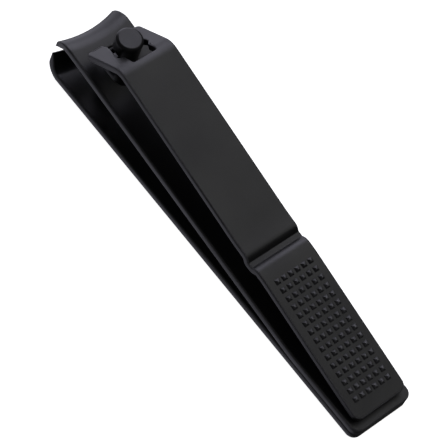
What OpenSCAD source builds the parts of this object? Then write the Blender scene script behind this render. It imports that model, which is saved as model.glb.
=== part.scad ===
// Nail clipper with a swivelling, folding lever.
// +X runs from the cutting edges to the rear end, +Z is up, and the lower jaw lies flat on z = 0.
// Every strip is described by its centreline: stretches of [length, turn in degrees, thickness at the end].

/* [Jaws] */
// Overall length of the clipper
clipper_length = 80; // [76:1:86]
// Width of both jaw strips
jaw_width = 12.4; // [11.5:0.1:13.5]
// Thickness of each jaw strip
jaw_thickness = 1.45; // [1.3:0.05:1.6]
// Length of the rear part where the two strips lie on each other
heel_length = 16.5; // [14:0.5:18]
// Angle between the two jaws when they are at rest
splay_angle = 7.2; // [6.8:0.1:7.6]
// Radius of the concave cutting edges, seen from above
edge_radius = 19.5; // [18:0.5:24]
// Width of both jaws at the ends of the cutting edges
tip_width = 11.55; // [11.2:0.05:12]
// Radius of the rounded rear corners
rear_corner_radius = 1.6; // [1:0.1:2.5]

/* [Pin] */
// Diameter of the pin
pin_diameter = 4.6; // [4.4:0.1:4.6]
// Distance of the pin's axis behind the front ends of the jaws
pin_setback = 9.55; // [9.3:0.05:9.8]
// Height of the pin's top face
pin_top = 17.5; // [17.2:0.1:18]
// Chamfer around the pin's top face
pin_chamfer = 0.4; // [0.2:0.1:0.6]

/* [Lever] */
// Width of the lever
lever_width = 10.9; // [10:0.1:11.4]
// Thickness of the lever strip
lever_thickness = 1.25; // [1.1:0.05:1.3]
// Height of the cross bar's centre
bar_height = 13.35; // [13.2:0.05:13.6]
// Slope of the lever's short front portion
head_slope = 36; // [34:1:38]
// Slope of the lever's long portion, down towards the rear
main_slope = 12; // [11.5:0.1:12]

/* [Hidden] */
coated_steel = "#35353a";
bare_steel = "#4a4a50";
$fn = 96;
bend_step = 7;
corner_step = 15;
// Overshoot of a cut past a face, and a size that passes the whole clipper
past = 1;
beyond = 40;

// Places along the length
front_x = -clipper_length / 2;
rear_x = clipper_length / 2;
flexure_x = rear_x - heel_length;
flexure_gap = 0.05;
edge_depth = edge_radius - sqrt(pow(edge_radius, 2) - pow(tip_width / 2, 2));
edge_axis_x = front_x + edge_depth - edge_radius;
// Jaw heads, from the flat strip to the cutting edge: turned up steeply, and turned down a little
lower_head = [[3.2, -78, 1.1], [2.2, 0, 0.16]];
upper_head = [[2.7, -56, 1.35], [2.6, 0, 0.5]];
lower_head_reach = 2.84;
upper_head_reach = 3.1;
head_taper = 2.3;

// Pin: foot in the lower jaw, neck beside the lever's bar, and the fits around it
pin_x = front_x + pin_setback;
pin_radius = pin_diameter / 2;
running_gap = 0.05;
foot_radius = 3.2;
foot_recess = 0.1;
foot_cylinder = 0.25;
foot_cone = foot_radius - pin_radius;
notch_below = 2.25;
notch_above = 1.4;
neck_half_width = 1.2;
neck_front = 1.05;
neck_side_depth = 2.4;
// Slot in the upper jaw, long enough that the pin stays clear as the jaw swings
slot_radius = pin_radius + 0.6;
slot_front = 0.6;
slot_rear = 1.1;

// Lever: the bar's place, its centreline, and the openings cut through its head
bar_x = pin_x - 1.3;
bar_along = 1.95;
bar_front = 1.3;
bar_rear = 2.6;
bar_radius = 0.5;
bar_half_length = 2.6;
lever_front_radius = 0.8;
corner_overlap = 0.03;
lever_rear_radius = 1.4;
lever_rear_end = 1.4;
toe_recess_wide = 2.25;
toe_recess_narrow = 1.2;
keyhole_front = 2.3;
keyhole_wide = 3.1;
keyhole_narrow = 2.4;
keyhole_widest_from = 4.8;
keyhole_widest_to = 5.6;
keyhole_narrow_from = 6.3;
keyhole_end = 8.35;
lever_start = [bar_x - bar_along * cos(head_slope), bar_height - bar_along * sin(head_slope)];
lever_path = [
    [7.4, 0, lever_thickness],
    [2.3, -head_slope - main_slope, lever_thickness],
    [30, 0, lever_thickness],
    [3.6, 6, lever_thickness],
    [0.9, -50, lever_thickness],
    [0.25, 0, lever_thickness],
    [0.68, 52, lever_thickness],
    [0.8, 0, lever_thickness],
    [0.5, 44, lever_thickness],
    [0.35, 0, lever_thickness],
    [0.75, -44, lever_thickness],
    [2.4, -8.8, lever_thickness],
    [26, 0, lever_thickness]
];

// Rivet that joins the strips at the rear
rivet_x = rear_x - 8;
rivet_radius = 1.5;
rivet_head_radius = 2.1;
rivet_head_depth = 0.45;

// Points after the start of one stretch of a centreline, each [x, z, heading, thickness]
function stretch_points(at, stretch) =
    let (turn = stretch[1], count = max(1, ceil(abs(turn) / bend_step)))
    [for (i = [1:count])
        let (
            part = i / count,
            heading = at[2] + part * turn,
            bend = turn == 0 ? 0 : stretch[0] / (turn * PI / 180),
            x = turn == 0 ? stretch[0] * cos(at[2]) : bend * (sin(heading) - sin(at[2])),
            z = turn == 0 ? stretch[0] * sin(at[2]) : -bend * (cos(heading) - cos(at[2]))
        )
        [at[0] + x, at[1] + z, heading, at[3] + part * (stretch[2] - at[3])]];

// The whole centreline
function centreline(at, path, i = 0) =
    i == len(path) ? [at] :
    let (points = stretch_points(at, path[i]))
    concat([at], [for (j = [0:len(points) - 2]) if (len(points) > 1) points[j]],
        centreline(points[len(points) - 1], path, i + 1));

// Side view of a strip that follows a centreline
module strip_section(at, path) {
    line = centreline(at, path);
    last = len(line) - 1;
    polygon(concat(
        [for (p = line) [p[0] - sin(p[2]) * p[3] / 2, p[1] + cos(p[2]) * p[3] / 2]],
        [for (i = [0:last]) let (p = line[last - i])
            [p[0] + sin(p[2]) * p[3] / 2, p[1] - cos(p[2]) * p[3] / 2]]));
}

// Turns a side view, drawn in x and z, into a solid across the width
module across(width) {
    translate([0, width / 2, 0]) rotate([90, 0, 0]) linear_extrude(height = width) children();
}

// Outline of a strip from above, with rounded rear corners
module rear_outline(from_x, to_x, width, radius) {
    translate([from_x, -width / 2]) square([to_x - radius - from_x, width]);
    translate([to_x - 2 * radius, radius - width / 2]) square([2 * radius, width - 2 * radius]);
    for (side = [-1, 1]) translate([to_x - radius, side * (width / 2 - radius)]) circle(r = radius);
}

// Outline of a jaw from above, a little narrower at the cutting edge
module jaw_outline(to_x) {
    polygon([[front_x - past, -tip_width / 2], [front_x, -tip_width / 2],
        [front_x + head_taper, -jaw_width / 2], [to_x, -jaw_width / 2],
        [to_x, jaw_width / 2], [front_x + head_taper, jaw_width / 2],
        [front_x, tip_width / 2], [front_x - past, tip_width / 2]]);
}

// A jaw lying flat on z = 0 with its head turned up; the head follows the concave edge in plan
module flat_jaw(head, head_reach, to_x) {
    root = edge_radius + head_reach;
    intersection() {
        union() {
            difference() {
                translate([front_x - past, -jaw_width / 2, 0])
                    cube([to_x - front_x + past, jaw_width, jaw_thickness]);
                translate([edge_axis_x, 0, -past]) cylinder(r = root, h = jaw_thickness + 2 * past);
            }
            translate([edge_axis_x, 0, 0]) rotate_extrude()
                strip_section([root, jaw_thickness / 2, 180, jaw_thickness], head);
        }
        translate([0, 0, -past]) linear_extrude(height = beyond) jaw_outline(to_x);
    }
}

// Plan outline that rounds the rear end of the two strips
module rounded_rear(from_x, height) {
    linear_extrude(height = height) rear_outline(from_x, rear_x, jaw_width, rear_corner_radius);
}

// Rear rivet with a countersunk head at each end; it is also the shape of its holes
module rivet_shape(low, high) {
    translate([rivet_x, 0, low]) cylinder(r = rivet_radius, h = high - low);
    translate([rivet_x, 0, low]) cylinder(r1 = rivet_head_radius, r2 = rivet_radius, h = rivet_head_depth);
    translate([rivet_x, 0, high - rivet_head_depth])
        cylinder(r1 = rivet_radius, r2 = rivet_head_radius, h = rivet_head_depth);
}

// Foot and shaft of the pin, grown by a gap; used for the pin and for its seat in the lower jaw
module pin_foot(gap, top) {
    translate([pin_x, 0, 0]) {
        translate([0, 0, foot_recess - gap]) cylinder(r = foot_radius + gap, h = foot_cylinder + gap);
        translate([0, 0, foot_recess + foot_cylinder])
            cylinder(r1 = foot_radius + gap, r2 = pin_radius + gap, h = foot_cone);
        translate([0, 0, foot_recess]) cylinder(r = pin_radius + gap, h = top - foot_recess);
    }
}

module lower_jaw() {
    color(coated_steel) difference() {
        intersection() {
            flat_jaw(lower_head, lower_head_reach, rear_x);
            translate([0, 0, -past]) rounded_rear(front_x - past, beyond);
        }
        pin_foot(running_gap, jaw_thickness + past);
        translate([pin_x, 0, -past]) cylinder(r = foot_radius + running_gap, h = past + foot_recess);
        rivet_shape(0, 2 * jaw_thickness);
    }
}

module upper_jaw_heel() {
    color(coated_steel) difference() {
        intersection() {
            translate([flexure_x, -jaw_width / 2, jaw_thickness])
                cube([heel_length, jaw_width, jaw_thickness]);
            translate([0, 0, jaw_thickness]) rounded_rear(flexure_x, jaw_thickness);
        }
        rivet_shape(0, 2 * jaw_thickness);
    }
}

module rear_rivet() {
    color(bare_steel) rivet_shape(0, 2 * jaw_thickness);
}

// Slot that the pin passes through
module pin_slot() {
    linear_extrude(height = beyond) {
        for (shift = [-slot_front, slot_rear]) translate([shift, 0]) circle(r = slot_radius);
        translate([-slot_front, -slot_radius]) square([slot_front + slot_rear, 2 * slot_radius]);
    }
}

module upper_jaw() {
    color(coated_steel) difference() {
        translate([flexure_x, 0, jaw_thickness]) rotate([0, splay_angle, 0])
            translate([-flexure_x, 0, jaw_thickness]) mirror([0, 0, 1])
                difference() {
                    flat_jaw(upper_head, upper_head_reach, flexure_x + past);
                    translate([edge_axis_x, 0, -past]) cylinder(r = edge_radius, h = beyond);
                }
        translate([flexure_x - flexure_gap, -jaw_width, -past]) cube([heel_length, 2 * jaw_width, beyond]);
        translate([pin_x, 0, jaw_thickness + past]) pin_slot();
    }
}

module pin() {
    shaft_top = pin_top - pin_chamfer;
    notch_height = notch_below + notch_above;
    color(bare_steel) difference() {
        union() {
            pin_foot(0, shaft_top);
            translate([pin_x, 0, shaft_top])
                cylinder(r1 = pin_radius, r2 = pin_radius - pin_chamfer, h = pin_chamfer);
        }
        translate([bar_x + neck_front - pin_diameter, -pin_diameter, bar_height - notch_below])
            cube([pin_diameter, 2 * pin_diameter, notch_height]);
        for (side = [-1, 1])
            translate([bar_x, side * (neck_half_width + pin_radius) - pin_radius, bar_height - notch_below])
                cube([neck_side_depth, pin_diameter, notch_height]);
    }
}

// Opening in the lever's head, from the recess between its toes to the rear of the keyhole,
// drawn on the head's own plane
module head_opening() {
    near_side = [[-past, -toe_recess_wide - past], [0, -toe_recess_wide], [bar_front, -toe_recess_narrow],
        [bar_rear, -keyhole_front], [keyhole_widest_from, -keyhole_wide], [keyhole_widest_to, -keyhole_wide],
        [keyhole_narrow_from, -keyhole_narrow], [keyhole_end, -keyhole_narrow]];
    last = len(near_side) - 1;
    polygon(concat(near_side, [for (i = [0:last]) [near_side[last - i][0], -near_side[last - i][1]]]));
}

// What is cut away outside one rounded front corner of the lever, drawn on the head's own plane
module front_corner() {
    middle = [lever_front_radius - corner_overlap, lever_width / 2 - lever_front_radius + corner_overlap];
    polygon(concat(
        [for (angle = [90:corner_step:180]) middle + lever_front_radius * [cos(angle), sin(angle)]],
        [[-past, middle[1]], [-past, lever_width / 2 + past], [middle[0], lever_width / 2 + past]]));
}

// Round bar across the opening, on the axis that the lever tilts about
module cross_bar() {
    translate([bar_x, bar_half_length, bar_height]) rotate([90, 0, 0])
        cylinder(r = bar_radius, h = 2 * bar_half_length);
}

module lever_strip() {
    difference() {
        intersection() {
            across(lever_width)
                strip_section([lever_start[0], lever_start[1], head_slope, lever_thickness], lever_path);
            linear_extrude(height = beyond)
                rear_outline(front_x, rear_x - lever_rear_end, lever_width, lever_rear_radius);
        }
        translate([lever_start[0], 0, lever_start[1]]) rotate([0, -head_slope, 0]) {
            translate([0, 0, -lever_thickness]) linear_extrude(height = 2 * lever_thickness) {
                head_opening();
                front_corner();
                mirror([0, 1]) front_corner();
            }
        }
    }
}

module lever() {
    color(coated_steel) union() {
        lever_strip();
        cross_bar();
    }
}

lower_jaw();
upper_jaw_heel();
rear_rivet();
upper_jaw();
pin();
lever();
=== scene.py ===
"""The looks of a lever nail clipper: satin black steel strips, a turned pin and a studded thumb pad.

Sizes are millimetres in the classes and become metres where a mesh is made.
"""

import logging
import math
from dataclasses import dataclass, field
from enum import Enum
from typing import Callable

import bmesh
import bpy
from mathutils import Matrix, Vector
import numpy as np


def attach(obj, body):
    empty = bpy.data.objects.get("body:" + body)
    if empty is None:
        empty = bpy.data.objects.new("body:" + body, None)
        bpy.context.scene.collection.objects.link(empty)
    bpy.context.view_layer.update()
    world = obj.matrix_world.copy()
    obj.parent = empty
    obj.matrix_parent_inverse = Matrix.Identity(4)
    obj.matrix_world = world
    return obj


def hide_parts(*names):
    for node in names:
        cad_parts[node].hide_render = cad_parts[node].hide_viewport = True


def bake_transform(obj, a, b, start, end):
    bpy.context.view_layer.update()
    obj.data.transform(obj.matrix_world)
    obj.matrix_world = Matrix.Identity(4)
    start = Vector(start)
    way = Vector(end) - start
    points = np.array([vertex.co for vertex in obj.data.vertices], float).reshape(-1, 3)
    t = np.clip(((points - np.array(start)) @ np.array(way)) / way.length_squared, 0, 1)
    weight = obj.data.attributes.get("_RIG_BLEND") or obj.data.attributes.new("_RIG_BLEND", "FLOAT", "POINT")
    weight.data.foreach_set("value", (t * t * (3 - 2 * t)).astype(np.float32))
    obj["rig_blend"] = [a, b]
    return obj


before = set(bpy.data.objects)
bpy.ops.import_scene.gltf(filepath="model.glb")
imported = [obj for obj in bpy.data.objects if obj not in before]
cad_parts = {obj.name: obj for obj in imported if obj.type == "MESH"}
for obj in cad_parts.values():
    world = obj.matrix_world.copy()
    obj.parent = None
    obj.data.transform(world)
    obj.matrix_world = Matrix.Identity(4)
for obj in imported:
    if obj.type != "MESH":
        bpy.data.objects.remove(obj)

MM = 0.001
MERGE = 1e-7
LOG = logging.getLogger("nail_clipper")

Point = tuple[float, float]
Placed = tuple[float, float, float]


class HeadForm(Enum):
    """How a jaw's front end is turned towards the other jaw."""

    STEEP = "steep"
    SHALLOW = "shallow"


class Grain(Enum):
    """What the coating's fine grain follows."""

    EVEN = "even"
    TURNED = "turned"


@dataclass(frozen=True)
class Stretch:
    """One stretch of a centreline: its length, how far it turns, and the strip's thickness at its end."""

    length: float
    turn: float = 0.0
    thickness: float | None = None


@dataclass(frozen=True)
class Corner:
    """A corner of an outline, with its fillet radius and how round the strip's rim is there."""

    along: float
    across: float
    fillet: float = 0.0
    rim: float = 0.28


@dataclass
class Centreline:
    """The side view of a bent strip, as straight stretches and arcs one after the other."""

    start: Point
    heading: float
    thickness: float
    stretches: list[Stretch]

    def at(self, along: float) -> tuple[float, float, float, float]:
        """Finds the place on the line after a given length.

        Args:
            along: Length from the start, in millimetres.

        Returns:
            The two coordinates, the heading in radians and the thickness there.
        """
        x, z = self.start
        heading = math.radians(self.heading)
        thickness = self.thickness
        left = along
        last = len(self.stretches) - 1
        for number, stretch in enumerate(self.stretches):
            end_thickness = thickness if stretch.thickness is None else stretch.thickness
            part = left / stretch.length
            if number == 0:
                part = min(part, 1.0)
            elif number == last:
                part = max(part, 0.0)
            else:
                part = min(max(part, 0.0), 1.0)
            if number < last:
                part = min(part, 1.0)
            turn = math.radians(stretch.turn) * part
            reach = stretch.length * part
            if abs(stretch.turn) < 1e-9:
                x += reach * math.cos(heading)
                z += reach * math.sin(heading)
            else:
                radius = stretch.length / math.radians(stretch.turn)
                x += radius * (math.sin(heading + turn) - math.sin(heading))
                z -= radius * (math.cos(heading + turn) - math.cos(heading))
            heading += turn
            thickness += (end_thickness - thickness) * min(max(part, 0.0), 1.0)
            left -= stretch.length
            if left <= 0:
                break
        return x, z, heading, thickness

    def total(self) -> float:
        """The line's whole length."""
        return sum(stretch.length for stretch in self.stretches)

    def along_at(self, x: float) -> float:
        """Finds the length at which the line reaches a given x, on a line that runs towards +X."""
        low, high = 0.0, self.total()
        for _ in range(50):
            middle = (low + high) / 2
            if self.at(middle)[0] < x:
                low = middle
            else:
                high = middle
        return low

    def offset(self, along: float, height: float, nominal: float) -> Point:
        """Moves off the line, square to it, by a height that scales with the local thickness.

        Args:
            along: Length from the start.
            height: Height above the centreline on a strip of the nominal thickness.
            nominal: The nominal thickness.

        Returns:
            The two coordinates of the point.
        """
        x, z, heading, thickness = self.at(along)
        scaled = height * thickness / nominal
        return x - math.sin(heading) * scaled, z + math.cos(heading) * scaled


def arc_points(centre: Point, radius: float, start: float, end: float, count: int) -> list[Point]:
    """Points along an arc.

    Args:
        centre: The arc's centre.
        radius: Its radius.
        start: The first angle in degrees.
        end: The last angle in degrees.
        count: The number of steps.

    Returns:
        The points, both ends included.
    """
    angles = [math.radians(start + (end - start) * i / count) for i in range(count + 1)]
    return [(centre[0] + radius * math.cos(a), centre[1] + radius * math.sin(a)) for a in angles]


def filleted(corners: list[Corner], steps: int = 7) -> list[tuple[Point, float]]:
    """Rounds an outline's corners.

    Args:
        corners: The corners in order.
        steps: The number of steps in a fillet.

    Returns:
        The outline's points, each with its rim radius.
    """
    result: list[tuple[Point, float]] = []
    for number, corner in enumerate(corners):
        here = Vector((corner.along, corner.across))
        before = corners[number - 1]
        after = corners[(number + 1) % len(corners)]
        back = (Vector((before.along, before.across)) - here).normalized()
        ahead = (Vector((after.along, after.across)) - here).normalized()
        bend = math.pi - back.angle(ahead)
        if corner.fillet <= 0 or bend < 0.02:
            result.append(((here.x, here.y), corner.rim))
            continue
        cut = corner.fillet * math.tan(bend / 2)
        first = here + back * cut
        second = here + ahead * cut
        inward = (back + ahead).normalized()
        centre = here + inward * (corner.fillet / math.cos(bend / 2))
        for step in range(steps + 1):
            share = step / steps
            spoke = (first - centre).lerp(second - centre, share)
            spoke = spoke.normalized() * corner.fillet
            result.append((((centre + spoke).x, (centre + spoke).y), corner.rim))
    return result


def signed_area(points: list[Point]) -> float:
    """Twice the signed area of an outline, positive when it runs anticlockwise."""
    total = 0.0
    for number, (x, y) in enumerate(points):
        next_x, next_y = points[(number + 1) % len(points)]
        total += x * next_y - next_x * y
    return total


@dataclass
class StripPattern:
    """A flat blank with openings, given a thickness and rounded rims, ready to be bent."""

    outline: list[tuple[Point, float]]
    openings: list[list[tuple[Point, float]]]
    thickness: float
    rim_steps: int = 4
    support: float = 0.07
    sharpest_mitre: float = 0.45
    largest_rim: float = 0.9

    def _rings(self, bm: bmesh.types.BMesh, loop: list[tuple[Point, float]], hole: bool) -> list[list]:
        """Builds the rounded wall around one outline.

        Args:
            bm: The mesh that receives the wall.
            loop: The outline's points with their rim radii.
            hole: Whether the metal lies outside the outline.

        Returns:
            The lowest and the highest ring of vertices, which bound the flat faces.
        """
        points = [point for point, _ in loop]
        if (signed_area(points) > 0) == hole:
            loop = list(reversed(loop))
            points = [point for point, _ in loop]
        wear_and_sheen_layer = bm.verts.layers.float["rim"]
        count = len(loop)
        inward: list[Vector] = []
        for number in range(count):
            here = Vector(points[number])
            before = (here - Vector(points[number - 1])).normalized()
            after = (Vector(points[(number + 1) % count]) - here).normalized()
            left_before = Vector((-before.y, before.x))
            left_after = Vector((-after.y, after.x))
            middle = (left_before + left_after).normalized()
            inward.append(middle / max(self.sharpest_mitre, middle.dot(left_before)))
        half = self.thickness / 2
        levels: list[tuple[float, float, float, float]] = []
        # The rim value peaks halfway round each rounded rim, and the coating paints a paler tone there:
        # partly edge wear, partly a painted highlight line along the rim.
        for step in range(self.rim_steps + 1):
            angle = math.pi / 2 * step / self.rim_steps
            levels.append((1 - math.cos(angle), half, math.sin(angle) - 1, math.sin(2 * angle)))
        rings: list[list] = []
        upper: list[list] = []
        for share, base, drop, wear_and_sheen in levels:
            low_ring, high_ring = [], []
            for number, ((x, y), rim) in enumerate(loop):
                radius = min(rim, self.largest_rim * half)
                spot = Vector((x, y)) + inward[number] * radius * share
                height = base + drop * radius
                low = bm.verts.new((spot.x, spot.y, -height))
                high = bm.verts.new((spot.x, spot.y, height))
                low[wear_and_sheen_layer] = high[wear_and_sheen_layer] = wear_and_sheen
                low_ring.append(low)
                high_ring.append(high)
            rings.insert(0, low_ring)
            upper.append(high_ring)
        inner_low, inner_high = [], []
        for number, ((x, y), rim) in enumerate(loop):
            spot = Vector((x, y)) + inward[number] * (min(rim, self.largest_rim * half) + self.support)
            inner_low.append(bm.verts.new((spot.x, spot.y, -half)))
            inner_high.append(bm.verts.new((spot.x, spot.y, half)))
        rings = [inner_low] + rings + upper + [inner_high]
        for low_ring, high_ring in zip(rings, rings[1:]):
            for number in range(count):
                after = (number + 1) % count
                bm.faces.new((low_ring[number], low_ring[after], high_ring[after], high_ring[number]))
        return [inner_low, inner_high]

    def mesh(
        self,
        name: str,
        cuts_along: list[float],
        cuts_across: list[float],
        bend: Callable[[float, float, float], Placed],
    ) -> bpy.types.Mesh:
        """Makes the blank, cuts it finely enough to bend, and bends it.

        Args:
            name: The mesh's name.
            cuts_along: Where it is cut across its length.
            cuts_across: Where it is cut along its length.
            bend: Gives the place of a point of the flat blank, in millimetres.

        Returns:
            The closed, bent mesh in metres.
        """
        bm = bmesh.new()
        bm.verts.layers.float.new("rim")
        caps: list[list[list]] = [self._rings(bm, self.outline, False)]
        caps += [self._rings(bm, loop, True) for loop in self.openings]
        for side in (0, 1):
            edges = []
            for rings in caps:
                ring = rings[side]
                for number, vertex in enumerate(ring):
                    edges.append(bm.edges.get((vertex, ring[(number + 1) % len(ring)])))
            bmesh.ops.triangle_fill(bm, use_beauty=True, use_dissolve=False, edges=edges)
        for axis, cuts in ((0, cuts_along), (1, cuts_across)):
            normal = Vector((1, 0, 0)) if axis == 0 else Vector((0, 1, 0))
            for cut in cuts:
                geometry = list(bm.verts) + list(bm.edges) + list(bm.faces)
                bmesh.ops.bisect_plane(bm, geom=geometry, dist=1e-5, plane_co=normal * cut, plane_no=normal)
        for vertex in bm.verts:
            placed = bend(vertex.co.x, vertex.co.y, vertex.co.z)
            vertex.co = Vector(placed) * MM
        bmesh.ops.remove_doubles(bm, verts=bm.verts, dist=MERGE)
        bmesh.ops.recalc_face_normals(bm, faces=bm.faces)
        mesh = bpy.data.meshes.new(name)
        bm.to_mesh(mesh)
        bm.free()
        mesh.shade_smooth()
        return mesh


def turned_mesh(
    name: str, profile: list[Point], x: float, steps: int, merge: float, inside_out: bool,
) -> bpy.types.Mesh:
    """Turns a profile about an upright axis.

    Args:
        name: The mesh's name.
        profile: The profile's radii and heights in metres.
        x: The axis's place in metres.
        steps: The number of steps round the axis.
        merge: How close points are merged, in metres.
        inside_out: Whether the faces look towards the axis.

    Returns:
        The mesh.
    """
    bm = bmesh.new()
    verts = [bm.verts.new((x + r, 0, z)) for r, z in profile]
    for low, high in zip(verts, verts[1:]):
        bm.edges.new((low, high))
    bmesh.ops.spin(
        bm, geom=list(bm.verts) + list(bm.edges), cent=(x, 0, 0), axis=(0, 0, 1),
        angle=math.tau, steps=steps, use_merge=True,
    )
    bmesh.ops.remove_doubles(bm, verts=bm.verts, dist=merge)
    bmesh.ops.recalc_face_normals(bm, faces=bm.faces)
    if inside_out:
        bmesh.ops.reverse_faces(bm, faces=bm.faces)
    mesh = bpy.data.meshes.new(name)
    bm.to_mesh(mesh)
    bm.free()
    return mesh


def spread(low: float, high: float, step: float) -> list[float]:
    """Evenly spaced places between two limits, both included."""
    count = max(1, math.ceil((high - low) / step))
    return [low + (high - low) * i / count for i in range(count + 1)]


@dataclass(frozen=True)
class SatinBlack:
    """Satin black coating over steel, with a paler tone on rounded rims and stud tips: partly wear where
    edges are handled, partly a painted highlight.
    """

    name: str
    slot: str
    base: tuple[float, float, float] = (0.007, 0.007, 0.0075)
    # The paler tone below goes on rims and stud tips: partly wear, partly a painted highlight.
    worn_and_sheen: tuple[float, float, float] = (0.3, 0.3, 0.32)
    specular: float = 0.5
    metallic: float = 0.0
    roughness: float = 0.4
    roughness_spread: float = 0.07
    grain_scale: float = 5200.0
    cloud_scale: float = 90.0
    bump_height: float = 0.012
    wear_and_sheen: float = 0.5
    grain: Grain = Grain.EVEN

    def material(self) -> bpy.types.Material:
        """Builds the coating's node tree.

        Returns:
            The material.
        """
        material = bpy.data.materials.new(self.name)
        material.use_nodes = True
        nodes, links = material.node_tree.nodes, material.node_tree.links
        shader = nodes["Principled BSDF"]
        shader.inputs["Metallic"].default_value = self.metallic
        shader.inputs["Specular IOR Level"].default_value = self.specular
        coordinates = nodes.new("ShaderNodeTexCoord")
        mapping = nodes.new("ShaderNodeMapping")
        if self.grain is Grain.TURNED:
            mapping.inputs["Scale"].default_value = (1.0, 1.0, 6.0)
        links.new(coordinates.outputs["Object"], mapping.inputs["Vector"])
        fine = self._noise(nodes, links, mapping, self.grain_scale, 3.0)
        cloud = self._noise(nodes, links, mapping, self.cloud_scale, 4.0)
        # Rims and stud tips take the paler tone through the rim attribute, in patches: wear, and a painted
        # highlight on the edges.
        rim = nodes.new("ShaderNodeAttribute")
        rim.attribute_name = "rim"
        patchy = self._range(nodes, links, cloud.outputs["Fac"], 0.35, 0.7, 0.35, 1.0)
        patchy_wear_and_sheen = nodes.new("ShaderNodeMath")
        patchy_wear_and_sheen.operation = "MULTIPLY"
        links.new(rim.outputs["Fac"], patchy_wear_and_sheen.inputs[0])
        links.new(patchy, patchy_wear_and_sheen.inputs[1])
        worn_and_sheen = nodes.new("ShaderNodeMath")
        worn_and_sheen.operation = "MULTIPLY"
        worn_and_sheen.inputs[1].default_value = self.wear_and_sheen
        links.new(patchy_wear_and_sheen.outputs[0], worn_and_sheen.inputs[0])
        tone = nodes.new("ShaderNodeMix")
        tone.data_type = "RGBA"
        tone.inputs["A"].default_value = (*self.base, 1.0)
        tone.inputs["B"].default_value = (*self.worn_and_sheen, 1.0)
        links.new(worn_and_sheen.outputs[0], tone.inputs["Factor"])
        speckle = nodes.new("ShaderNodeMix")
        speckle.data_type = "RGBA"
        speckle.blend_type = "MULTIPLY"
        speckle.inputs["Factor"].default_value = 1.0
        shade = self._range(nodes, links, fine.outputs["Fac"], 0.3, 0.7, 0.86, 1.1)
        links.new(tone.outputs["Result"], speckle.inputs["A"])
        links.new(shade, speckle.inputs["B"])
        links.new(speckle.outputs["Result"], shader.inputs["Base Color"])
        low, high = self.roughness - self.roughness_spread, self.roughness + self.roughness_spread
        uneven = self._range(nodes, links, cloud.outputs["Fac"], 0.3, 0.7, low, high)
        links.new(uneven, shader.inputs["Roughness"])
        bump = nodes.new("ShaderNodeBump")
        bump.inputs["Strength"].default_value = 0.35
        bump.inputs["Distance"].default_value = self.bump_height * MM
        links.new(fine.outputs["Fac"], bump.inputs["Height"])
        links.new(bump.outputs["Normal"], shader.inputs["Normal"])
        return material

    @staticmethod
    def _noise(nodes, links, mapping, scale: float, detail: float) -> bpy.types.Node:
        """Adds a noise texture on the object's own coordinates."""
        noise = nodes.new("ShaderNodeTexNoise")
        noise.inputs["Scale"].default_value = scale
        noise.inputs["Detail"].default_value = detail
        links.new(mapping.outputs["Vector"], noise.inputs["Vector"])
        return noise

    @staticmethod
    def _range(nodes, links, source, low: float, high: float, to_low: float, to_high: float):
        """Adds a clamped remapping of a value and returns its output socket."""
        node = nodes.new("ShaderNodeMapRange")
        node.inputs["From Min"].default_value = low
        node.inputs["From Max"].default_value = high
        node.inputs["To Min"].default_value = to_low
        node.inputs["To Max"].default_value = to_high
        links.new(source, node.inputs["Value"])
        return node.outputs["Result"]


def place(mesh: bpy.types.Mesh, name: str, material: bpy.types.Material) -> bpy.types.Object:
    """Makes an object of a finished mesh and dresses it.

    Args:
        mesh: The mesh, already in its place.
        name: The piece's name.
        material: Its finish.

    Returns:
        The object.
    """
    piece = bpy.data.objects.new(name, mesh)
    bpy.context.scene.collection.objects.link(piece)
    mesh.materials.clear()
    mesh.materials.append(material)
    LOG.info("%s: %d faces", name, len(mesh.polygons))
    return piece


def finished(piece: bpy.types.Object) -> bpy.types.Object:
    """Turns an object's live modifiers into its mesh.

    Args:
        piece: The object.

    Returns:
        The same object, with no modifiers.
    """
    graph = bpy.context.evaluated_depsgraph_get()
    result = bpy.data.meshes.new_from_object(piece.evaluated_get(graph))
    piece.modifiers.clear()
    old = piece.data
    piece.data = result
    bpy.data.meshes.remove(old)
    return piece


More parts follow.
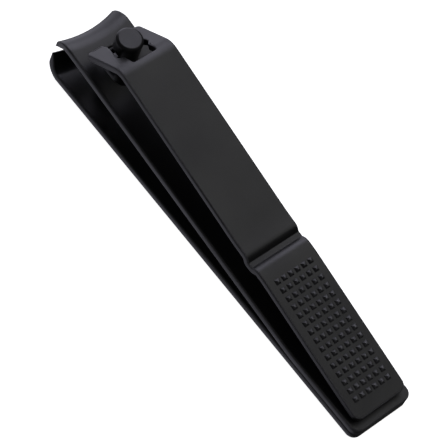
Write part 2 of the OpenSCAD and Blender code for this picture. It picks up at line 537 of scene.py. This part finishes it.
@dataclass
class Jaws:
    """The two sprung strips with their turned heads."""

    width: float = 12.4
    thickness: float = 1.45
    front: float = -40.0
    rear: float = 40.0
    heel: float = 16.5
    splay: float = 7.2
    edge_radius: float = 19.5
    tip_width: float = 11.55
    head_taper: float = 2.3
    rear_fillet: float = 1.6
    side_rim: float = 0.33
    slot_radius: float = 2.9
    slot_front: float = 0.6
    slot_rear: float = 1.1
    seat_radius: float = 2.35
    pin_x: float = -30.45
    flex: float = 2.0
    steep: list[Stretch] = field(default_factory=lambda: [Stretch(3.2, -78, 1.1), Stretch(2.2, 0, 0.16)])
    shallow: list[Stretch] = field(default_factory=lambda: [Stretch(2.7, -56, 1.35), Stretch(1.45, 0, 0.876)])
    steep_reach: float = 2.84
    shallow_reach: float = 3.1
    shallow_shear: float = 0.86

    def _edge_axis(self) -> float:
        """The x of the upright axis that the concave edges are struck from."""
        depth = self.edge_radius - math.sqrt(self.edge_radius**2 - (self.tip_width / 2) ** 2)
        return self.front + depth - self.edge_radius

    def _head(self, form: HeadForm) -> tuple[Centreline, float]:
        """The head's side view about the edge axis, and the radius at which it leaves the flat strip."""
        steep = form is HeadForm.STEEP
        root = self.edge_radius + (self.steep_reach if steep else self.shallow_reach)
        stretches = self.steep if steep else self.shallow
        return Centreline((root, self.thickness / 2), 180.0, self.thickness, stretches), root

    def _blank(self, form: HeadForm) -> tuple[StripPattern, float]:
        """Draws the flat blank of one jaw.

        Args:
            form: Which head it carries.

        Returns:
            The blank and the x where its head begins.
        """
        head, root = self._head(form)
        axis = self._edge_axis()
        tip = root - head.total()
        half = self.width / 2
        horn = self.tip_width / 2
        swing = math.degrees(math.asin(horn / tip))
        sharp = 0.06 if form is HeadForm.STEEP else 0.2
        edge = [(point, sharp) for point in arc_points((axis, 0), tip, swing, -swing, 28)]
        tip_x = edge[0][0][0]
        back, side = self.rear - self.rear_fillet, half - self.rear_fillet
        corners = arc_points((back, -side), self.rear_fillet, -90, 0, 8)
        corners += arc_points((back, side), self.rear_fillet, 0, 90, 8)
        wide_x = self._taper_end(form)
        behind_horn, before, after = tip_x + 0.5, wide_x - 0.25, wide_x + 0.25
        near = [
            ((behind_horn, -self._half_width(form, behind_horn)), self.side_rim * 0.6),
            ((before, -self._half_width(form, before)), self.side_rim),
            ((after, -half), self.side_rim),
        ]
        far = [((x, -y), rim) for (x, y), rim in reversed(near)]
        outline = edge + near + [(point, self.side_rim) for point in corners] + far
        if form is HeadForm.STEEP:
            hole = arc_points((self.pin_x, 0), self.seat_radius, 0, 360, 48)[:-1]
        else:
            ends = [self._unbent(self.pin_x + self.slot_rear), self._unbent(self.pin_x - self.slot_front)]
            hole = arc_points((ends[0], 0), self.slot_radius, -90, 90, 24)
            hole += arc_points((ends[1], 0), self.slot_radius, 90, 270, 24)
        return StripPattern(outline, [[(point, 0.15) for point in hole]], self.thickness), axis + root

    def _taper_end(self, form: HeadForm) -> float:
        """Where, on the flat blank, the head reaches the strip's full width."""
        head, root = self._head(form)
        axis = self._edge_axis()
        goal = self.front + self.head_taper
        low, high = axis + root - head.total(), self.front + 9.0
        for _ in range(40):
            middle = (low + high) / 2
            if self._flat_to_head(form, middle, self.width / 2, 0.0)[0] < goal:
                low = middle
            else:
                high = middle
        return low

    def _half_width(self, form: HeadForm, x: float) -> float:
        """Half the blank's width at a place along it."""
        horn, half = self.tip_width / 2, self.width / 2
        share = (self._flat_to_head(form, x, half, 0.0)[0] - self.front) / self.head_taper
        return horn + (half - horn) * min(max(share, 0.0), 1.0)

    def _unbent(self, x: float) -> float:
        """Where a place on the sprung upper strip lies along it before it is bent."""
        pivot = self.rear - self.heel
        rise = self.thickness * math.sin(math.radians(self.splay)) / 2
        return pivot - (pivot - x + rise) / math.cos(math.radians(self.splay))

    def _flat_to_head(self, form: HeadForm, x: float, y: float, height: float) -> Placed:
        """Turns a jaw's head, leaving the rest flat on z = 0.

        Args:
            form: Which head it carries.
            x: Place along the flat blank.
            y: Place across it.
            height: Height above the blank's middle.

        Returns:
            The point, with the head turned up.
        """
        head, root = self._head(form)
        axis = self._edge_axis()
        along = root - math.hypot(x - axis, y)
        if along <= 0:
            return x, y, self.thickness / 2 + height
        if form is HeadForm.SHALLOW:
            share = along / head.total()
            along += share * share * height * self.shallow_shear
        radius, z = head.offset(along, -height, self.thickness)
        return axis + math.sqrt(radius**2 - y**2), y, z

    def _spring(self, x: float, y: float, z: float) -> Placed:
        """Bends the upper strip away from the lower one in front of the heel.

        Args:
            x: Place along the unbent strip.
            y: Place across it.
            z: Height above the face that lies on the lower jaw.

        Returns:
            The point in the clipper's frame.
        """
        pivot = self.rear - self.heel
        angle = math.radians(self.splay)
        ahead = pivot - x
        if ahead <= -self.flex:
            return x, y, self.thickness + z
        if ahead >= self.flex:
            base_x, base_z, turn = pivot - ahead * math.cos(angle), ahead * math.sin(angle), angle
        else:
            radius = 2 * self.flex / angle
            turn = (ahead + self.flex) / radius
            base_x = pivot + self.flex - radius * math.sin(turn)
            base_z = radius * (1 - math.cos(turn))
        return base_x + z * math.sin(turn), y, self.thickness + base_z + z * math.cos(turn)

    def _cuts_across(self) -> list[float]:
        """Where a jaw's blank is cut along its length, so that its head can bend."""
        margin = 0.4
        return spread(margin - self.width / 2, self.width / 2 - margin, 0.9)

    def build_lower(self, material: bpy.types.Material) -> bpy.types.Object:
        """Makes the lower jaw, which lies flat and carries the steep head."""
        blank, root_x = self._blank(HeadForm.STEEP)
        cuts = spread(self.front - 4.0, root_x, 0.22) + spread(root_x + 1, self.rear - 1, 4.0)
        mesh = blank.mesh(
            "lower_jaw_shape", cuts, self._cuts_across(),
            lambda x, y, h: self._flat_to_head(HeadForm.STEEP, x, y, h),
        )
        piece = place(mesh, "lower_jaw_strip", material)
        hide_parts("lower_jaw")
        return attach(piece, "base")

    def build_upper(self, material: bpy.types.Material) -> bpy.types.Object:
        """Makes the upper jaw in one piece with its heel; it bends where it leaves the lower jaw."""
        blank, root_x = self._blank(HeadForm.SHALLOW)
        pivot = self.rear - self.heel

        def bend(x: float, y: float, height: float) -> Placed:
            """Turns the head, faces it down and springs the strip."""
            x, y, z = self._flat_to_head(HeadForm.SHALLOW, x, y, height)
            return self._spring(x, y, self.thickness - z)

        cuts = spread(self.front - 3.0, root_x, 0.2) + spread(root_x + 1, pivot - 4, 4.0)
        cuts += spread(pivot - 3, pivot + 3, 0.4)
        mesh = blank.mesh("upper_jaw_shape", cuts, self._cuts_across(), bend)
        piece = place(mesh, "upper_jaw_strip", material)
        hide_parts("upper_jaw", "upper_jaw_heel")
        reach = self.flex * MM
        height = self.thickness * MM
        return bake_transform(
            piece, "base", "upper_jaw",
            start=(pivot * MM + reach, 0, height), end=(pivot * MM - reach, 0, height),
        )


@dataclass
class Lever:
    """The pressed lever with its keyhole head, knee, step and studded thumb pad."""

    width: float = 10.9
    thickness: float = 1.25
    bar: Point = (-31.75, 13.35)
    bar_along: float = 1.95
    head_slope: float = 36.0
    main_slope: float = 12.0
    bar_radius: float = 0.5
    bar_half_length: float = 2.6
    rear_x: float = 38.6
    front_fillet: float = 0.8
    rear_fillet: float = 1.4
    stud_rows: int = 15
    stud_columns: int = 6
    stud_pitch_along: float = 1.5714
    stud_pitch_across: float = 1.39
    stud_size: float = 0.95
    stud_top: float = 0.22
    stud_height: float = 0.38
    pad_first: float = 14.1

    def centreline(self) -> Centreline:
        """The lever's side view."""
        slope = math.radians(self.head_slope)
        bar_x, bar_z = self.bar
        start = (bar_x - self.bar_along * math.cos(slope), bar_z - self.bar_along * math.sin(slope))
        return Centreline(start, self.head_slope, self.thickness, [
            Stretch(7.4),
            Stretch(2.3, -self.head_slope - self.main_slope),
            Stretch(30.0),
            Stretch(3.6, 6),
            Stretch(0.9, -50),
            Stretch(0.25),
            Stretch(0.68, 52),
            Stretch(0.8),
            Stretch(0.5, 44),
            Stretch(0.35),
            Stretch(0.75, -44),
            Stretch(2.4, -8.8),
            Stretch(26.0),
        ])

    def _outline(self, length: float) -> list[tuple[Point, float]]:
        """The blank's outline: two front toes, and between them the opening that runs back to the knee."""
        half = self.width / 2
        far = [
            Corner(length, half, self.rear_fillet),
            Corner(0, half, self.front_fillet),
            Corner(0, 2.25, 0.3),
            Corner(1.3, 2.0, 0.25, 0.2),
            Corner(2.6, 2.3, 0.3, 0.2),
            Corner(4.8, 3.1, 0.3, 0.2),
            Corner(5.6, 3.1, 0.25, 0.2),
            Corner(6.3, 2.4, 0.2, 0.2),
            Corner(8.35, 2.4, 0.3, 0.2),
        ]
        near = [Corner(c.along, -c.across, c.fillet, c.rim) for c in reversed(far)]
        return filleted(far + near, 6)

    def build(self, finish: SatinBlack, material: bpy.types.Material) -> bpy.types.Object:
        """Makes the bent strip."""
        line = self.centreline()
        length = line.along_at(self.rear_x)
        blank = StripPattern(self._outline(length), [], self.thickness)
        cuts = spread(0.5, 7.2, 0.8) + spread(7.4, 9.9, 0.18) + spread(11, 39, 3.0)
        cuts += spread(39.5, 43.1, 0.5) + spread(43.2, 50.8, 0.14) + spread(52, length - 1, 3.0)

        def bend(along: float, across: float, height: float) -> Placed:
            """Lays a point of the blank on the bent centreline."""
            x, z = line.offset(along, height, self.thickness)
            return x, across, z

        mesh = blank.mesh("lever_shape", cuts, spread(-4.5, 4.5, 1.5), bend)
        piece = place(mesh, "lever_strip", material)
        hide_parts("lever")
        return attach(piece, "lever")

    def build_bar(self, material: bpy.types.Material) -> bpy.types.Object:
        """Makes the round bar that the lever tilts on, let into the two arms beside the opening."""
        bm = bmesh.new()
        bmesh.ops.create_cone(
            bm, cap_ends=True, segments=40, radius1=self.bar_radius, radius2=self.bar_radius,
            depth=2 * self.bar_half_length,
        )
        turned = Matrix.Translation((self.bar[0], 0, self.bar[1])) @ Matrix.Rotation(math.pi / 2, 4, "X")
        bmesh.ops.transform(bm, matrix=Matrix.Scale(MM, 4) @ turned, verts=bm.verts)
        mesh = bpy.data.meshes.new("cross_bar_shape")
        bm.to_mesh(mesh)
        bm.free()
        mesh.shade_smooth()
        mesh.set_sharp_from_angle(angle=math.radians(40))
        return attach(place(mesh, "lever_cross_bar", material), "lever")

    def _stud_tree(self, material: bpy.types.Material) -> bpy.types.NodeTree:
        """Builds the node tree that lays the studs out on the pad.

        Args:
            material: The studs' finish.

        Returns:
            The tree, with named inputs for the studs' sizes.
        """
        tree = bpy.data.node_groups.new("thumb_pad_studs", "GeometryNodeTree")
        add = tree.interface.new_socket
        add("Geometry", in_out="OUTPUT", socket_type="NodeSocketGeometry")
        for name in ("Rows", "Columns"):
            add(name, in_out="INPUT", socket_type="NodeSocketInt")
        for name in ("Pitch along", "Pitch across", "Stud size", "Stud top", "Stud height"):
            add(name, in_out="INPUT", socket_type="NodeSocketFloat")
        nodes, links = tree.nodes, tree.links
        source = nodes.new("NodeGroupInput").outputs

        def product(first, second, less_one: bool):
            """Multiplies two sockets, the first less one where it counts gaps."""
            if less_one:
                minus = nodes.new("ShaderNodeMath")
                minus.operation = "SUBTRACT"
                minus.inputs[1].default_value = 1
                links.new(first, minus.inputs[0])
                first = minus.outputs[0]
            times = nodes.new("ShaderNodeMath")
            times.operation = "MULTIPLY"
            links.new(first, times.inputs[0])
            links.new(second, times.inputs[1])
            return times.outputs[0]

        grid = nodes.new("GeometryNodeMeshGrid")
        links.new(source["Rows"], grid.inputs["Vertices X"])
        links.new(source["Columns"], grid.inputs["Vertices Y"])
        links.new(product(source["Rows"], source["Pitch along"], True), grid.inputs["Size X"])
        links.new(product(source["Columns"], source["Pitch across"], True), grid.inputs["Size Y"])
        stud = nodes.new("GeometryNodeMeshCone")
        stud.inputs["Vertices"].default_value = 4
        links.new(source["Stud size"], stud.inputs["Radius Bottom"])
        links.new(source["Stud top"], stud.inputs["Radius Top"])
        links.new(source["Stud height"], stud.inputs["Depth"])
        square = nodes.new("GeometryNodeTransform")
        square.inputs["Rotation"].default_value = (0, 0, math.pi / 4)
        links.new(stud.outputs["Mesh"], square.inputs["Geometry"])
        spread_out = nodes.new("GeometryNodeInstanceOnPoints")
        links.new(grid.outputs["Mesh"], spread_out.inputs["Points"])
        links.new(square.outputs["Geometry"], spread_out.inputs["Instance"])
        real = nodes.new("GeometryNodeRealizeInstances")
        links.new(spread_out.outputs["Instances"], real.inputs["Geometry"])
        dress = nodes.new("GeometryNodeSetMaterial")
        dress.inputs["Material"].default_value = material
        links.new(real.outputs["Geometry"], dress.inputs["Geometry"])
        links.new(dress.outputs["Geometry"], nodes.new("NodeGroupOutput").inputs["Geometry"])
        return tree

    def build_studs(self, material: bpy.types.Material) -> bpy.types.Object:
        """Makes the rows of small pyramids on the thumb pad."""
        line = self.centreline()
        piece = bpy.data.objects.new("pad_studs", bpy.data.meshes.new("pad_studs_seed"))
        bpy.context.scene.collection.objects.link(piece)
        tree = self._stud_tree(material)
        modifier = piece.modifiers.new("studs", "NODES")
        modifier.node_group = tree
        half_diagonal = math.sqrt(0.5)
        values = {
            "Rows": self.stud_rows,
            "Columns": self.stud_columns,
            "Pitch along": self.stud_pitch_along * MM,
            "Pitch across": self.stud_pitch_across * MM,
            "Stud size": self.stud_size * half_diagonal * MM,
            "Stud top": self.stud_top * half_diagonal * MM,
            "Stud height": self.stud_height * MM,
        }
        for item in tree.interface.items_tree:
            if item.in_out == "INPUT":
                modifier[item.identifier] = values[item.name]
        finished(piece)
        # Stud tips are marked in the rim attribute so the coating paints them paler: a painted highlight on
        # the tips, as well as wear.
        tip_wear_and_sheen = piece.data.attributes.new("rim", "FLOAT", "POINT")
        for vertex in piece.data.vertices:
            tip_wear_and_sheen.data[vertex.index].value = 1.0 if vertex.co.z > self.stud_height * MM / 2 else 0.0
        first = line.along_at(self.pad_first)
        middle = first + self.stud_pitch_along * (self.stud_rows - 1) / 2
        x, z, heading, _ = line.at(middle)
        half = self.thickness / 2
        on_pad = Vector((x - math.sin(heading) * half, 0, z + math.cos(heading) * half))
        lift = Matrix.Translation(on_pad * MM)
        piece.data.transform(lift @ Matrix.Rotation(-heading, 4, "Y"))
        piece.data.update()
        LOG.info("pad_studs: %d faces", len(piece.data.polygons))
        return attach(piece, "lever")


@dataclass
class Pin:
    """The turned pin with its countersunk foot, notch and chamfered head."""

    x: float = -30.45
    radius: float = 2.3
    top: float = 17.5
    chamfer: float = 0.4
    foot_radius: float = 3.2
    foot_recess: float = 0.1
    foot_edge: float = 0.25
    bar: Point = (-31.75, 13.35)
    notch_below: float = 2.25
    notch_above: float = 1.4
    neck_front: float = 1.05
    neck_half_width: float = 1.2
    neck_depth: float = 2.4
    sides: int = 72

    def _turned(self) -> bpy.types.Mesh:
        """The pin as it comes off the lathe, before the notch is milled."""
        cone = self.foot_radius - self.radius
        profile = [
            (0.0, self.foot_recess),
            (self.foot_radius - 0.08, self.foot_recess),
            (self.foot_radius, self.foot_recess + 0.08),
            (self.foot_radius, self.foot_recess + self.foot_edge),
            (self.radius, self.foot_recess + self.foot_edge + cone),
            (self.radius, self.top - self.chamfer - 0.06),
            (self.radius - 0.03, self.top - self.chamfer + 0.03),
            (self.radius - self.chamfer + 0.03, self.top - 0.03),
            (self.radius - self.chamfer - 0.03, self.top),
            (self.radius - self.chamfer - 0.12, self.top),
            (0.0, self.top),
        ]
        scaled = [(r * MM, z * MM) for r, z in profile]
        return turned_mesh("pin_shape", scaled, self.x * MM, self.sides, MERGE, False)

    def _cutter(self, low: Placed, high: Placed) -> bpy.types.Object:
        """A block that is milled away, from its lowest to its highest corner."""
        bm = bmesh.new()
        bmesh.ops.create_cube(bm, size=1.0)
        size = Vector(high) - Vector(low)
        middle = (Vector(high) + Vector(low)) / 2
        for vertex in bm.verts:
            vertex.co = Vector((vertex.co.x * size.x, vertex.co.y * size.y, vertex.co.z * size.z)) + middle
            vertex.co *= MM
        mesh = bpy.data.meshes.new("pin_cutter")
        bm.to_mesh(mesh)
        bm.free()
        cutter = bpy.data.objects.new("pin_cutter", mesh)
        bpy.context.scene.collection.objects.link(cutter)
        return cutter

    def build(self, finish: SatinBlack, material: bpy.types.Material) -> bpy.types.Object:
        """Turns the pin, mills its notch and breaks the notch's edges."""
        piece = place(self._turned(), "pin_turned", material)
        low = self.bar[1] - self.notch_below
        high = self.bar[1] + self.notch_above
        reach = 2 * self.radius
        bar_x = self.bar[0]
        neck = bar_x + self.neck_front
        cutters = [self._cutter((neck - reach, -reach, low), (neck, reach, high))]
        for side in (-1, 1):
            near, far = side * self.neck_half_width, side * reach
            cutters.append(
                self._cutter((bar_x, min(near, far), low), (bar_x + self.neck_depth, max(near, far), high))
            )
        for number, cutter in enumerate(cutters):
            cut = piece.modifiers.new(f"mill_{number}", "BOOLEAN")
            cut.operation = "DIFFERENCE"
            cut.solver = "EXACT"
            cut.object = cutter
        edge = piece.modifiers.new("break_edges", "BEVEL")
        edge.width = 0.07 * MM
        edge.segments = 2
        edge.limit_method = "ANGLE"
        edge.angle_limit = math.radians(50)
        finished(piece)
        for cutter in cutters:
            mesh = cutter.data
            bpy.data.objects.remove(cutter)
            bpy.data.meshes.remove(mesh)
        piece.data.shade_smooth()
        piece.data.set_sharp_from_angle(angle=math.radians(28))
        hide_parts("pin")
        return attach(piece, "pin")


@dataclass
class RearRivet:
    """The flush rivet that joins the strips at the rear."""

    x: float = 32.0
    radius: float = 1.5
    head_radius: float = 2.1
    head_depth: float = 0.45
    length: float = 2.9
    dome: float = 0.08
    sides: int = 48

    def build(self, finish: SatinBlack, material: bpy.types.Material) -> bpy.types.Object:
        """Makes the rivet with its two set heads."""
        half = [
            (0.0, 0.02),
            (self.head_radius * 0.6, 0.03),
            (self.head_radius - 0.12, self.dome),
            (self.head_radius - 0.03, self.dome + 0.05),
            (self.radius, self.head_depth),
        ]
        profile = half + [(r, self.length - z) for r, z in reversed(half)]
        scaled = [(r * MM, z * MM) for r, z in profile]
        mesh = turned_mesh("rear_rivet_shape", scaled, self.x * MM, self.sides, MERGE, False)
        mesh.shade_smooth()
        piece = place(mesh, "rear_rivet_set", material)
        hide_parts("rear_rivet")
        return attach(piece, "base")


@dataclass
class Studio:
    """Camera, soft lights and the pale floor."""

    target: Placed = (0.8, -2.7, 7.0)
    azimuth: float = 27.5
    elevation: float = 58.9
    roll: float = 26.4
    distance: float = 382.0
    lens: float = 192.9
    sensor: float = 36.0

    def camera(self) -> None:
        """Makes the camera and sets it as the scene's own."""
        around, up_angle = math.radians(self.azimuth), math.radians(self.elevation)
        back = Vector((
            math.sin(around) * math.cos(up_angle), -math.cos(around) * math.cos(up_angle), math.sin(up_angle),
        ))
        level = Vector((0, 0, 1)).cross(back).normalized()
        upright = back.cross(level)
        turn = math.radians(self.roll)
        right = level * math.cos(turn) + upright * math.sin(turn)
        upward = upright * math.cos(turn) - level * math.sin(turn)
        place_at = Vector(self.target) * MM + back * self.distance * MM
        data = bpy.data.cameras.new("camera")
        data.lens = self.lens
        data.sensor_width = self.sensor
        data.clip_start = 0.01
        camera = bpy.data.objects.new("camera", data)
        rows = Matrix((right, upward, back)).transposed()
        camera.matrix_world = Matrix.Translation(place_at) @ rows.to_4x4()
        bpy.context.scene.collection.objects.link(camera)
        bpy.context.scene.camera = camera

    def softbox(
        self, name: str, centre: Placed, aim: Placed, width: float, height: float, watts: float,
        tint: Placed = (1.0, 1.0, 1.0),
    ) -> None:
        """Hangs a rectangular soft light.

        Args:
            name: The light's name.
            centre: Its place, in millimetres.
            aim: The point it faces, in millimetres.
            width: Its width in millimetres.
            height: Its height in millimetres.
            watts: Its power.
            tint: Its colour.
        """
        data = bpy.data.lights.new(name, "AREA")
        data.shape = "RECTANGLE"
        data.size = width * MM
        data.size_y = height * MM
        data.energy = watts
        data.color = tint
        lamp = bpy.data.objects.new(name, data)
        direction = (Vector(aim) - Vector(centre)).normalized()
        turned = direction.to_track_quat("-Z", "Y").to_matrix().to_4x4()
        lamp.matrix_world = Matrix.Translation(Vector(centre) * MM) @ turned
        bpy.context.scene.collection.objects.link(lamp)

    def floor(self) -> None:
        """Lays the plain pale floor under the clipper; far out it sweeps up all round."""
        flat, sweep, drop = 3.0, 2.0, 0.00002
        profile = [(0.0, -drop)] + [
            (flat + x, sweep + z - drop) for x, z in arc_points((0, 0), sweep, -90, 0, 12)
        ]
        mesh = turned_mesh("floor", profile, 0.0, 48, 10 * MERGE, True)
        material = bpy.data.materials.new("floor_paper")
        material.use_nodes = True
        shader = material.node_tree.nodes["Principled BSDF"]
        shader.inputs["Base Color"].default_value = (0.85, 0.85, 0.85, 1)
        shader.inputs["Roughness"].default_value = 0.9
        shader.inputs["Specular IOR Level"].default_value = 0.1
        shader.inputs["Emission Color"].default_value = (1, 1, 1, 1)
        shader.inputs["Emission Strength"].default_value = 1.0
        mesh.materials.append(material)
        floor = bpy.data.objects.new("floor", mesh)
        floor.visible_glossy = False
        floor.visible_diffuse = False
        floor.visible_shadow = False
        bpy.context.scene.collection.objects.link(floor)

    def light(self) -> None:
        """Sets the surroundings and hangs the lights."""
        world = bpy.data.worlds.new("studio")
        world.use_nodes = True
        world.node_tree.nodes["Background"].inputs["Color"].default_value = (1, 1, 1, 1)
        world.node_tree.nodes["Background"].inputs["Strength"].default_value = 0.05
        bpy.context.scene.world = world
        cool = (0.86, 0.85, 1.0)
        self.softbox("front_box", (-420, 215, 20), (-20, 0, 8), 420, 460, 0.7, cool)
        self.softbox("brow_box", (-250, 205, 320), (-30, 0, 10), 260, 300, 0.6, cool)
        self.softbox("ceiling_box", (60, 205, 400), (0, 0, 5), 380, 380, 0.36)
        self.softbox("table_glow", (-110, -130, -260), (0, 0, 5), 480, 480, 0.34, cool)
        bpy.context.scene.view_settings.view_transform = "Standard"


def main() -> None:
    """Builds the studio and the clipper."""
    logging.basicConfig(level=logging.INFO, format="%(message)s")
    studio = Studio()
    studio.camera()
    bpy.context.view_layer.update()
    strip = SatinBlack("satin_black_strip", "black_steel")
    pressed = SatinBlack("satin_black_lever", "black_lever")
    turned = SatinBlack("satin_black_pin", "black_pin", grain=Grain.TURNED)
    strip_material = strip.material()
    lever_material = pressed.material()
    pin_material = turned.material()
    jaws = Jaws()
    jaws.build_lower(strip_material)
    jaws.build_upper(strip_material)
    RearRivet().build(turned, pin_material)
    Pin().build(turned, pin_material)
    lever = Lever()
    lever.build(pressed, lever_material)
    # The cross bar gets a near-black, barely glossy coat: painted shade, standing for the shadow of the pin
    # head over it.
    painted_shade_bar = SatinBlack(
        "cross_bar_painted_shade", "black_lever", base=(0.002, 0.002, 0.002), specular=0.1, wear_and_sheen=0.0,
    )
    lever.build_bar(painted_shade_bar.material())
    lever.build_studs(lever_material)
    studio.floor()
    studio.light()
    bpy.context.view_layer.update()


if __name__ == "__main__":
    main()
